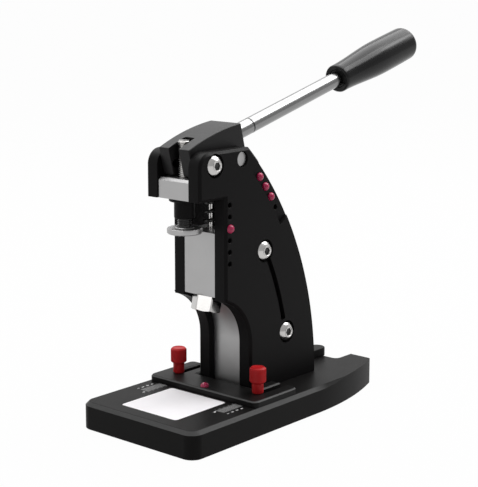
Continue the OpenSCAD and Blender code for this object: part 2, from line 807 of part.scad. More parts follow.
// Half of the grip's outline: distance along the grip, radius
function grip_outline() = let (n = grip_neck_d / 2, m = grip_d / 2, edge = 1.5, tip = m * 0.98,
    swell = grip_l * 0.6, round_at = grip_l - grip_end_r) concat(
    [[0, 0], [n - edge, 0], [n, edge]],
    [for (i = [1 : 10]) let (t = i / 10) [n + (m - n) * (1 - cos(180 * t)) / 2, edge + (swell - edge) * t]],
    [for (i = [1 : 6]) let (t = i / 6) [m - (m - tip) * t * t, swell + (round_at - swell) * t]],
    [for (i = [1 : 8]) let (a = 90 * i / 8)
        [tip - grip_end_r * (1 - cos(a)), round_at + grip_end_r * sin(a)]],
    [[0, grip_l]]);

module lever_grip() {
    color([0.08, 0.08, 0.08]) lever_frame() translate([0, head_back + rod_free, rod_rise])
        rotate([-90, 0, 0]) difference() {
            rotate_extrude() polygon(grip_outline());
            translate([0, 0, -past]) cylinder(d = rod_d + 2 * bolt_gap, h = rod_seat + past);
        }
}

// Back stop

module stop_plate() {
    z1 = stop_t + 2 * past;
    far = stop_front + stop_l;
    color([0.16, 0.16, 0.16]) on_base() difference() {
        round_block(stop_w, stop_front, far, stop_low, stop_t, stop_r);
        translate([-foot_notch_w / 2, foot_notch_y, -past]) cube([foot_notch_w, stop_l, z1]);
        for (x = [-thumb_x, thumb_x]) {
            translate([x, slot_front + stop_slot_w / 2, -past]) cylinder(d = stop_slot_w, h = z1);
            translate([x - stop_slot_w / 2, slot_front + stop_slot_w / 2, -past])
                cube([stop_slot_w, stop_l, z1]);
        }
        translate([0, stop_pin_y, stop_low - past]) cylinder(d = pin_hole_d, h = z1);
    }
}

module stop_pin() {
    color([0.69, 0.18, 0.35]) on_base() translate([0, stop_pin_y, stop_low + stop_t]) {
        intersection() {
            sphere(d = pin_head_d);
            cylinder(d = pin_head_d, h = pin_head_d);
        }
        translate([0, 0, -stop_t]) cylinder(d = pin_hole_d - 2 * pin_shank_gap, h = stop_t + past);
    }
}

module thumb_screw() {
    seat = stop_low + stop_t + thumb_seat;
    bevel = 1;
    color([0.55, 0.1, 0.12]) on_base() {
        translate([0, 0, -thumb_reach]) cylinder(d = thumb_d, h = thumb_reach + seat + past);
        translate([0, 0, seat]) cylinder(d = thumb_stem_d, h = thumb_stem_h);
        translate([0, 0, seat + thumb_stem_h]) {
            cylinder(d1 = thumb_head_d - 2 * bevel, d2 = thumb_head_d, h = bevel);
            translate([0, 0, bevel]) cylinder(d = thumb_head_d, h = thumb_head_h - 2 * bevel);
            translate([0, 0, thumb_head_h - bevel])
                cylinder(d1 = thumb_head_d, d2 = thumb_head_d - 2 * bevel, h = bevel);
        }
    }
}

module thumb_screw_left() {
    translate([-thumb_x, thumb_y, 0]) thumb_screw();
}

module thumb_screw_right() {
    translate([thumb_x, thumb_y, 0]) thumb_screw();
}

base_plate();
cutting_pad();
side_plate_left();
side_plate_right();
upper_spacer();
lower_spacer();
hex_bolt();
frame_screws();
nose_screws();
foot_screws();
pivot_pin();
index_pins();
guide_post();
return_spring();
anchor_tongue();
tongue_screw();
crosshead();
ram_rod();
cross_pin();
ram_flange();
ram_holder();
die_adapter();
lever_head();
lever_rod();
lever_grip();
stop_plate();
stop_pin();
thumb_screw_left();
thumb_screw_right();
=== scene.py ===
"""The looks of a hand press for leather work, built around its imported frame."""

import logging
import math
from collections.abc import Callable, Iterator, Mapping, Sequence
from contextlib import contextmanager
from dataclasses import dataclass, field
from enum import Enum
from functools import partialmethod

import bmesh
import bpy
from mathutils import Matrix, Vector


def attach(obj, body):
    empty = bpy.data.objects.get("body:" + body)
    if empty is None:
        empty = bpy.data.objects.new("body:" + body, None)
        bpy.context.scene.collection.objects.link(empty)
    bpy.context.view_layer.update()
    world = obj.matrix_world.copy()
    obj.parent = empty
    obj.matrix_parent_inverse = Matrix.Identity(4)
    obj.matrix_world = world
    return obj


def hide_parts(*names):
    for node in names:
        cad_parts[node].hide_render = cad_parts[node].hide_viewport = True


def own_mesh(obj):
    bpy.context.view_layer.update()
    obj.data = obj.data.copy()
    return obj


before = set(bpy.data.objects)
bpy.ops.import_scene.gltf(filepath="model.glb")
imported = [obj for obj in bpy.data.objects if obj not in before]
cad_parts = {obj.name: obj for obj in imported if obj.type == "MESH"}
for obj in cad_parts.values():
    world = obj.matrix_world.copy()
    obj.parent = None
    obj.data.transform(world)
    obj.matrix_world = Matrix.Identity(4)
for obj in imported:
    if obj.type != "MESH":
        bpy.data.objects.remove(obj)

LOG = logging.getLogger("hand_press")
# Lengths are in millimetres, and the modelling tools turn them into metres
MM = 0.001
BASE_TOP = 21.6
# The height that the fine grain of a surface stands for
GRAIN_HEIGHT = 0.04
Piece = bpy.types.Object
Pair = tuple[float, float]
Triple = tuple[float, float, float]
Values = Mapping[str | int, object]


def at(x: float, y: float, z: float) -> Matrix:
    """Give the move to a place that is written in millimetres."""
    return Matrix.Translation(Vector((x, y, z)) * MM)


class Axis(Enum):
    """Which way a round piece or cutter points."""

    X = Matrix.Rotation(math.pi / 2, 4, "Y")
    LEFT = Matrix.Rotation(-math.pi / 2, 4, "Y")
    Y = Matrix.Rotation(-math.pi / 2, 4, "X")
    Z = Matrix.Identity(4)


class Cut(Enum):
    """Which share of a piece stays when a tool is set into it."""

    OUTSIDE = "DIFFERENCE"
    INSIDE = "INTERSECT"


class Edge:
    """What the choice of edges to bevel can depend on."""

    def __init__(self, edge: bmesh.types.BMEdge) -> None:
        """Measure an edge between two faces.

        Args:
            edge: The edge, whose middle is taken in millimetres.
        """
        self.x, self.y, self.z = (edge.verts[0].co + edge.verts[1].co) / 2 / MM
        first, second = (face.normal for face in edge.link_faces)
        self.left, self.right = sorted((first.x, second.x))
        self.down, self.up = sorted((first.z, second.z))
        self.upright = abs(first.z) + abs(second.z) < 0.1
        self.crosswise = abs(first.x) + abs(second.x) < 0.1


def pick(*pieces: Piece) -> None:
    """Select only these pieces and make the first one active.

    Args:
        pieces: The pieces to select.
    """
    bpy.ops.object.select_all(action="DESELECT")
    for piece in pieces:
        piece.select_set(True)
    bpy.context.view_layer.objects.active = pieces[0]


@contextmanager
def editing(piece: Piece) -> Iterator[None]:
    """Open a piece in edit mode with all of it selected, and close it at the end.

    Args:
        piece: The piece that is worked on.

    Yields:
        Nothing, while the piece is open.
    """
    pick(piece)
    bpy.ops.object.mode_set(mode="EDIT")
    bpy.ops.mesh.select_all(action="SELECT")
    yield
    bpy.ops.object.mode_set(mode="OBJECT")


def face_outwards() -> None:
    """Turn all faces of the piece in edit mode outwards."""
    bpy.ops.mesh.select_all(action="SELECT")
    bpy.ops.mesh.normals_make_consistent(inside=False)


def settle(piece: Piece, place: Matrix | None = None) -> Piece:
    """Put the place of a piece into its mesh.

    Args:
        piece: The piece to settle.
        place: A further move in metres, applied last.

    Returns:
        The same piece, with its object at the origin.
    """
    if place is not None:
        piece.matrix_world = place @ piece.matrix_world
    pick(piece)
    bpy.ops.object.transform_apply(location=True, rotation=True, scale=True)
    return piece


def fresh(name: str) -> Piece:
    """Name the primitive that was just added, and settle it.

    Args:
        name: The name of the new piece.

    Returns:
        The new piece.
    """
    piece = bpy.context.active_object
    piece.name = piece.data.name = name
    return settle(piece)


def block(name: str, low: Triple, high: Triple) -> Piece:
    """Add a block between two corners.

    Args:
        name: The name of the block.
        low: Its lowest corner.
        high: Its highest corner.

    Returns:
        The block.
    """
    middle = [(a + b) / 2 * MM for a, b in zip(low, high)]
    size = [(b - a) * MM for a, b in zip(low, high)]
    bpy.ops.mesh.primitive_cube_add(size=1, location=middle, scale=size)
    return fresh(name)


def bar(name: str, start: Triple, axis: Axis, radius: float, length: float, sides: int = 64) -> Piece:
    """Add a straight round bar.

    Args:
        name: The name of the bar.
        start: The middle of its first end.
        axis: The way that it points.
        radius: Its radius.
        length: Its length.
        sides: How many sides its outline has.

    Returns:
        The bar.
    """
    bpy.ops.mesh.primitive_cylinder_add(
        vertices=sides, radius=radius * MM, depth=length * MM, location=(0, 0, length / 2 * MM))
    return settle(fresh(name), at(*start) @ axis.value)


def turned(name: str, stations: Sequence[Pair], sides: int = 64, place: Matrix | None = None) -> Piece:
    """Turn a piece from stations along its axis, as on a lathe.

    Args:
        name: The name of the piece.
        stations: Distance along the axis and radius, one after another.
        sides: How many sides its outline has.
        place: Where the piece goes, in metres.

    Returns:
        The turned piece.
    """
    height, radius = stations[0]
    bpy.ops.mesh.primitive_circle_add(
        vertices=sides, radius=radius * MM, fill_type="NGON", location=(0, 0, height * MM))
    piece = fresh(name)
    with editing(piece):
        for next_height, next_radius in stations[1:]:
            bpy.ops.mesh.extrude_region_move(
                TRANSFORM_OT_translate={"value": (0, 0, (next_height - height) * MM)})
            share = next_radius / radius
            bpy.ops.transform.resize(value=(share, share, 1), center_override=(0, 0, next_height * MM))
            height, radius = next_height, next_radius
        face_outwards()
    return settle(piece, place)


def wound(name: str, profile: Sequence[Pair], pitch: float, turns: int,
          place: Matrix | None = None) -> Piece:
    """Wind a closed profile along a helix about the axis Z.

    Args:
        name: The name of the piece.
        profile: Radius and height of the profile's corners.
        pitch: Rise in one turn.
        turns: How many turns it makes.
        place: Where the piece goes, in metres.

    Returns:
        The wound piece, closed at both ends.
    """
    bpy.ops.mesh.primitive_circle_add(vertices=len(profile), radius=MM)
    piece = fresh(name)
    for vertex, (radius, height) in zip(piece.data.vertices, profile):
        vertex.co = Vector((radius, 0, height)) * MM
    wind = piece.modifiers.new("wind", "SCREW")
    wind.screw_offset = pitch * MM
    wind.iterations = turns
    wind.steps = wind.render_steps = 40
    bpy.ops.object.modifier_apply(modifier=wind.name)
    with editing(piece):
        bpy.ops.mesh.remove_doubles(threshold=1e-7)
        bpy.ops.mesh.fill_holes(sides=0)
        face_outwards()
    return settle(piece, place)


def combine(piece: Piece, *tools: Piece, stays: Cut = Cut.OUTSIDE) -> Piece:
    """Cut a piece with tools, one after another.

    Args:
        piece: The piece that is worked on.
        tools: The cutters, which are used up.
        stays: The share of the piece that stays.

    Returns:
        The piece.
    """
    for tool in tools:
        cut = piece.modifiers.new("cut", "BOOLEAN")
        cut.operation, cut.object, cut.solver = stays.value, tool, "EXACT"
        pick(piece)
        bpy.ops.object.modifier_apply(modifier=cut.name)
        bpy.data.objects.remove(tool, do_unlink=True)
    return piece


def slice_off(piece: Piece, point: Triple, normal: Triple) -> None:
    """Cut a piece with a plane and drop what lies on the side that the normal points to."""
    with editing(piece):
        bpy.ops.mesh.bisect(plane_co=Vector(point) * MM, plane_no=normal, use_fill=True, clear_outer=True)


def bevel(piece: Piece, width: float, segments: int = 2, least: float = 30,
          where: Callable[[Edge], bool] = lambda e: True) -> Piece:
    """Bevel the sharp edges of a piece.

    Args:
        piece: The piece that is worked on.
        width: Width of the bevel on each face.
        segments: How many strips make the bevel.
        least: Least angle of an edge that gets one, in degrees.
        where: A test that the edge has to pass too.

    Returns:
        The piece.
    """
    with editing(piece):
        bpy.ops.mesh.select_mode(type="EDGE")
        bpy.ops.mesh.remove_doubles(threshold=2e-6)
        bpy.ops.mesh.dissolve_limited(angle_limit=math.radians(0.05))
        bpy.ops.mesh.select_all(action="DESELECT")
        mesh = bmesh.from_edit_mesh(piece.data)
        chosen = [edge for edge in mesh.edges if len(edge.link_faces) == 2
                  and math.degrees(edge.calc_face_angle(0.0)) > least and where(Edge(edge))]
        for edge in chosen:
            edge.select_set(True)
        bmesh.update_edit_mesh(piece.data)
        if chosen:
            bpy.ops.mesh.bevel(
                offset=width * MM, segments=segments, profile=0.5, affect="EDGES", clamp_overlap=False)
        else:
            LOG.warning("no edge to bevel on %s", piece.name)
    return piece


def join(name: str, *pieces: Piece) -> Piece:
    """Join pieces into one and give it a name.

    Args:
        name: The name of the whole.
        pieces: The pieces, of which the first one stays.

    Returns:
        The joined piece.
    """
    pick(*pieces)
    bpy.ops.object.join()
    pieces[0].name = pieces[0].data.name = name
    return pieces[0]


def copied(piece: Piece, name: str, place: Matrix) -> Piece:
    """Copy a piece with its own mesh and put it in place.

    Args:
        piece: The piece that is copied.
        name: The name of the copy.
        place: The move in metres.

    Returns:
        The copy.
    """
    twin = piece.copy()
    twin.data = piece.data.copy()
    twin.name = twin.data.name = name
    bpy.context.scene.collection.objects.link(twin)
    return settle(twin, place)


class Term:
    """A value in a shader, which takes part in sums like a number."""

    def __init__(self, tree: bpy.types.NodeTree, socket: bpy.types.NodeSocket) -> None:
        """Wrap a socket of a tree."""
        self.tree = tree
        self.socket = socket

    def reckon(self, operation: str, other: "Term | float", swapped: bool = False) -> "Term":
        """Add one Math node.

        Args:
            operation: The node's operation.
            other: The other value.
            swapped: Whether the other value comes first.

        Returns:
            The result.
        """
        node = self.tree.nodes.new("ShaderNodeMath")
        node.operation = operation
        for slot, value in zip(node.inputs, (other, self) if swapped else (self, other)):
            if isinstance(value, Term):
                self.tree.links.new(value.socket, slot)
            else:
                slot.default_value = value
        return Term(self.tree, node.outputs[0])

    __add__ = __radd__ = partialmethod(reckon, "ADD")
    __sub__ = partialmethod(reckon, "SUBTRACT")
    __rsub__ = partialmethod(reckon, "SUBTRACT", swapped=True)
    __mul__ = __rmul__ = partialmethod(reckon, "MULTIPLY")
    above = partialmethod(reckon, "MAXIMUM")
    below = partialmethod(reckon, "MINIMUM")

    def within(self, low: float, high: float) -> "Term":
        """Keep the value between two limits."""
        return self.above(low).below(high)


class Recipe:
    """The node tree of one material or of the world."""

    def __init__(self, tree: bpy.types.NodeTree) -> None:
        """Start from an empty tree."""
        self.tree = tree
        tree.nodes.clear()

    def node(self, kind: str, settings: Values, sockets: Values) -> bpy.types.Node:
        """Add a node.

        Args:
            kind: The node's type, without its prefix.
            settings: Its own settings, which are set first.
            sockets: Values or terms for its sockets, by name or index.

        Returns:
            The node.
        """
        made = self.tree.nodes.new("ShaderNode" + kind)
        for key, value in settings.items():
            setattr(made, key, value)
        for key, value in sockets.items():
            if isinstance(value, Term):
                self.tree.links.new(value.socket, made.inputs[key])
            else:
                made.inputs[key].default_value = value
        return made

    def term(self, node: bpy.types.Node, output: str | int = 0) -> Term:
        """Take one output of a node as a term."""
        return Term(self.tree, node.outputs[output])

    def take(self, kind: str, sockets: Values, output: str | int = 0) -> Term:
        """Add a node without settings and take one of its outputs."""
        return self.term(self.node(kind, {}, sockets), output)

    def mix(self, share: Term, first: object, second: object) -> Term:
        """Mix two colours by a share."""
        return self.term(self.node("Mix", {"data_type": "RGBA"}, {0: share, 6: first, 7: second}), 2)


class Lay(Enum):
    """The way that a metal's fine lines run, as the stretch of the pattern on each axis."""

    NONE = (1.0, 1.0, 1.0)
    ALONG_Y = (1.0, 0.02, 1.0)


@dataclass(frozen=True)
class PaintedEdgeHighlight:
    """A painted highlight: a lighter strip along an upper edge, where its bevel would catch the lamps."""

    low: float
    high: float
    # Where it ends towards the rear
    back: float
    tone: float
    # How fast it fades at its lower and upper limit, and at its rear end
    fade: float = 5000.0
    rear_fade: float = 60.0

    def paint(self, recipe: Recipe, spot: Term, colour: Term) -> Term:
        """Lay the painted highlight strip over a colour.

        Args:
            recipe: The tree of the material.
            spot: The place on the surface.
            colour: The colour beside the strip.

        Returns:
            The colour with the strip.
        """
        parts = recipe.node("SeparateXYZ", {}, {0: spot})
        up, along = recipe.term(parts, "Z"), recipe.term(parts, "Y")
        inside = ((up - self.low * MM) * self.fade).below((self.high * MM - up) * self.fade)
        share = inside.below((self.back * MM - along) * self.rear_fade).within(0.0, 1.0)
        return recipe.mix(share, colour, (self.tone, self.tone, self.tone, 1.0))


@dataclass(frozen=True)
class Finish:
    """The finish of a surface: its colour, gloss and fine texture."""

    name: str
    slot: str
    colour: Triple
    roughness: float
    metallic: float = 0.0
    specular: float = 0.5
    # Share by which the colour drifts over large patches, and how many of them are in one metre
    drift: float = 0.08
    patch: float = 45.0
    # Grains or lines in one metre, how deep they are and how much they change the gloss
    grain: float = 2500.0
    depth: float = 0.3
    gloss_drift: float = 0.08
    lay: Lay = Lay.NONE
    # A painted highlight along an upper edge, if the surface has one
    rim: PaintedEdgeHighlight | None = None

    def material(self) -> bpy.types.Material:
        """Build the finish, or find it if it was built before.

        Returns:
            The material.
        """
        known = bpy.data.materials.get(self.name)
        if known is not None:
            return known
        made = bpy.data.materials.new(self.name)
        made.use_nodes = True
        recipe = Recipe(made.node_tree)
        spot = recipe.take("TexCoord", {}, "Object")
        lined = recipe.take("Mapping", {"Vector": spot, "Scale": self.lay.value})
        cloud = recipe.take("TexNoise", {"Vector": spot, "Scale": self.patch, "Detail": 3.0})
        fine = recipe.take("TexNoise", {"Vector": lined, "Scale": self.grain, "Detail": 2.0})
        dark = [c * (1 - self.drift) for c in self.colour] + [1.0]
        pale = [min(1.0, c * (1 + self.drift)) for c in self.colour] + [1.0]
        colour = recipe.mix((cloud * 2.4 - 0.7).within(0.0, 1.0), dark, pale)
        # Paint the edge highlight over the colour
        if self.rim is not None:
            colour = self.rim.paint(recipe, spot, colour)
        rough = (fine * (2 * self.gloss_drift) + (cloud - 0.5) * self.gloss_drift
                 + (self.roughness - self.gloss_drift)).within(0.02, 1.0)
        bump = recipe.take("Bump", {"Strength": self.depth, "Distance": GRAIN_HEIGHT * MM, "Height": fine})
        shader = recipe.take("BsdfPrincipled", {
            "Base Color": colour, "Roughness": rough, "Metallic": self.metallic,
            "Specular IOR Level": self.specular, "Normal": bump})
        recipe.node("OutputMaterial", {}, {"Surface": shader})
        return made

    def coat(self, piece: Piece) -> None:
        """Give a piece this finish alone."""
        piece.data.materials.clear()
        piece.data.materials.append(self.material())


BLACK_PLATE = Finish("black_anodised_plate", "black_anodised", (0.0060, 0.0056, 0.0058), 0.46, specular=0.065)
BLACK_CROWN = Finish("black_anodised_lever", "black_anodised", (0.0080, 0.0075, 0.0080), 0.42, specular=0.20)
# The base's rim strip is a painted highlight along the chamfer round its top
BLACK_BASE = Finish("black_blasted_base", "base_black", (0.0060, 0.0057, 0.0056), 0.42, specular=0.065,
                    grain=1800.0, depth=0.5, rim=PaintedEdgeHighlight(BASE_TOP - 3.0, BASE_TOP - 0.03, 106.0, 0.072))
# The stop plate's rim strip is a painted highlight along its bevelled upper edge
BLACK_STOP = Finish("black_anodised_stop", "black_anodised", (0.0070, 0.0066, 0.0066), 0.42, specular=0.10,
                    rim=PaintedEdgeHighlight(BASE_TOP + 4.0, BASE_TOP + 5.27, 90.0, 0.080))
BLACK_STEEL = Finish("black_oiled_steel", "spring_steel", (0.012, 0.012, 0.012), 0.30)
BARE_STEEL = Finish("satin_bare_steel", "bare_steel", (0.40, 0.397, 0.397), 0.42, 1.0, drift=0.03, depth=0.1)
BRIGHT_STEEL = Finish("polished_bright_steel", "bright_steel", (0.54, 0.53, 0.52), 0.20, 1.0, drift=0.03,
                      depth=0.12)
ROD_STEEL = Finish("ground_steel_rod", "bright_steel", (0.24, 0.24, 0.24), 0.20, 1.0, drift=0.03, depth=0.15,
                   lay=Lay.ALONG_Y)
NYLON = Finish("smooth_white_nylon", "white_nylon", (0.905, 0.885, 0.905), 0.50, specular=0.15, drift=0.02,
               depth=0.2)
MAGENTA = Finish("magenta_pins", "magenta", (0.43, 0.014, 0.080), 0.25, specular=0.4)
RED = Finish("satin_red_knob", "red_anodised", (0.52, 0.014, 0.017), 0.38, specular=0.15)
GRIP_BLACK = Finish("polished_grip", "grip_black", (0.007, 0.007, 0.0073), 0.20, specular=0.19, drift=0.03,
                    depth=0.03, gloss_drift=0.02)
MARKING = Finish("white_marking", "base_black", (0.85, 0.85, 0.85), 0.6, specular=0.2, drift=0.02)
SCALE_GREY = Finish("grey_scale", "base_black", (0.32, 0.32, 0.32), 0.6, specular=0.2, drift=0.02)


@dataclass
class Assembly:
    """Pieces that are fixed to one body of the press."""

    body: str = "frame"
    made: list[Piece] = field(default_factory=list)

    def dress(self, piece: Piece, finish: Finish, *nodes: str, angle: float = 35) -> None:
        """Give a finished piece its material, its body and the nodes that it stands for.

        Args:
            piece: The finished piece.
            finish: Its finish.
            nodes: The CAD nodes that it replaces.
            angle: Edges above this angle stay sharp, in degrees.
        """
        pick(piece)
        bpy.ops.object.shade_smooth_by_angle(angle=math.radians(angle))
        piece.modifiers.new("even", "WEIGHTED_NORMAL").keep_sharp = True
        bpy.ops.object.modifier_apply(modifier="even")
        finish.coat(piece)
        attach(piece, self.body)
        if nodes:
            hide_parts(*nodes)
        self.made.append(piece)
        LOG.info("%s rides on %s, %d faces", piece.name, self.body, len(piece.data.polygons))

    def keep(self, node: str, finish: Finish) -> None:
        """Keep a CAD node and give it a better material."""
        finish.coat(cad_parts[node])
        LOG.info("%s kept", node)


@dataclass
class BasePlate(Assembly):
    """The base with its pad, its scale and the tongue on its tail."""

    half_width: float = 60.0
    front: float = -56.5
    back: float = 188.5
    corner: float = 10.0
    chamfer: float = 3.0
    fine_edge: float = 0.5
    tail_start: float = 94.0
    tail_radius: float = 255.0
    tail_corner: float = 2.0
    notch_half: float = 21.0
    notch_length: float = 20.5
    notch_corner: float = 5.0
    pad_half: float = 29.3
    pad_front: float = -42.3
    pad_back: float = 15.0
    pad_thick: float = 5.0
    pad_corner: float = 3.0
    pad_gap: float = 0.1
    numeral_size: float = 3.0
    numeral_x: float = 48.0
    numeral_y: float = -4.5
    numeral_step: float = 5.2
    zero: Pair = (38.0, -8.5)
    ticks: int = 23
    tick_y: float = -5.0
    tick_half: float = 0.22
    tick_outer: float = 44.5
    tongue_front: float = 121.6
    tongue_back: float = 173.8
    tongue_half: float = 7.0
    tongue_thick: float = 7.3

    @staticmethod
    def rim(e: Edge) -> bool:
        """Tell whether an edge runs round the upper face."""
        return e.z > BASE_TOP - 0.01 and e.up > 0.9 and e.down < 0.1

    def slab(self) -> None:
        """Build the base plate."""
        slab = block("base_slab", (-self.half_width, self.front, 0), (self.half_width, self.back, BASE_TOP))
        bevel(slab, self.corner, 12, where=lambda e: e.upright and e.y < 0)
        # The tail and the notch are cut after the chamfer, which runs out along the tail as on the real plate
        bevel(slab, self.chamfer, 1, where=lambda e: self.rim(e) and e.y < self.back - 1)
        centre = self.half_width - self.tail_radius
        for side in (-1, 1):
            low, high = sorted((side * 25.0, side * (self.half_width + 5)))
            waste = block("waste", (low, self.tail_start, -5), (high, self.back + 5, BASE_TOP + 5))
            keep = bar("keep", (side * centre, self.tail_start, -9), Axis.Z, self.tail_radius, 40, 512)
            combine(slab, combine(waste, keep))
        notch = block("notch", (-self.notch_half, self.back - self.notch_length, -5),
                      (self.notch_half, self.back + 15, BASE_TOP + 5))
        bevel(notch, self.notch_corner, 8, where=lambda e: e.upright and e.y < self.back)
        combine(slab, notch)
        bevel(slab, self.tail_corner, 3,
              where=lambda e: e.upright and e.y > self.back - 3 and abs(e.x) > self.notch_half + 4)
        combine(slab, self.pad_block("pocket", self.pad_gap, BASE_TOP + 5))
        bevel(slab, self.fine_edge, 1, where=lambda e: e.z < 0.01 and e.down < -0.9)
        self.dress(slab, BLACK_BASE, "base_plate")

    def pad_block(self, name: str, extra: float, top: float) -> Piece:
        """Build a block in the outline of the pad.

        Args:
            name: The name of the block.
            extra: How much larger it is than the pad, on each side.
            top: The height of its top.

        Returns:
            The block, with its upright corners rounded.
        """
        x, y, low = self.pad_half + extra, self.pad_front - extra, BASE_TOP - self.pad_thick
        return bevel(block(name, (-x, y, low), (x, self.pad_back + extra, top)), self.pad_corner, 8,
                     where=lambda e: e.upright)

    def pad(self) -> None:
        """Build the white cutting pad."""
        pad = bevel(self.pad_block("pad", 0.0, BASE_TOP), self.fine_edge, 2, where=self.rim)
        self.dress(pad, NYLON, "cutting_pad")

    def marks(self) -> None:
        """Build the numerals and the fine scale on both sides of the pad."""
        digits, ticks = [], []
        row = [(str(i + 1), self.numeral_x, self.numeral_y + self.numeral_step * i) for i in range(4)]
        for side in (-1, 1):
            for text, x, y in row + [("0", *self.zero)]:
                bpy.ops.object.text_add(location=(side * x * MM, y * MM, (BASE_TOP + 0.03) * MM))
                word = bpy.context.active_object
                word.data.body, word.data.size = text, self.numeral_size * MM
                word.data.extrude, word.data.offset = 0.03 * MM, 0.12 * MM
                word.data.align_x, word.data.align_y = "CENTER", "CENTER"
                pick(word)
                bpy.ops.object.convert(target="MESH")
                digits.append(fresh("digit"))
            for i in range(self.ticks):
                y = self.tick_y + i
                inner = 35.0 if i % 5 == 0 else 36.5
                low, high = sorted((side * inner, side * self.tick_outer))
                ticks.append(block("tick", (low, y - self.tick_half, BASE_TOP - 0.02),
                                   (high, y + self.tick_half, BASE_TOP + 0.05)))
        self.dress(join("base_numerals", *digits), MARKING)
        self.dress(join("base_scale", *ticks), SCALE_GREY)

    def tongue(self) -> None:
        """Build the tongue behind the foot."""
        top = BASE_TOP + self.tongue_thick
        tongue = block("tongue", (-self.tongue_half, self.tongue_front, BASE_TOP),
                       (self.tongue_half, self.tongue_back, top))
        bevel(tongue, self.tongue_half - 0.02, 12, where=lambda e: e.upright and e.y > self.tongue_back - 1)
        bevel(tongue, 0.8, 2, where=lambda e: e.z > top - 0.01)
        self.dress(tongue, BLACK_BASE, "anchor_tongue")

    def build(self) -> None:
        """Build all pieces of the base."""
        self.slab()
        self.pad()
        self.marks()
        self.tongue()
        self.keep("foot_screws", BLACK_STEEL)
        self.keep("tongue_screw", BLACK_STEEL)


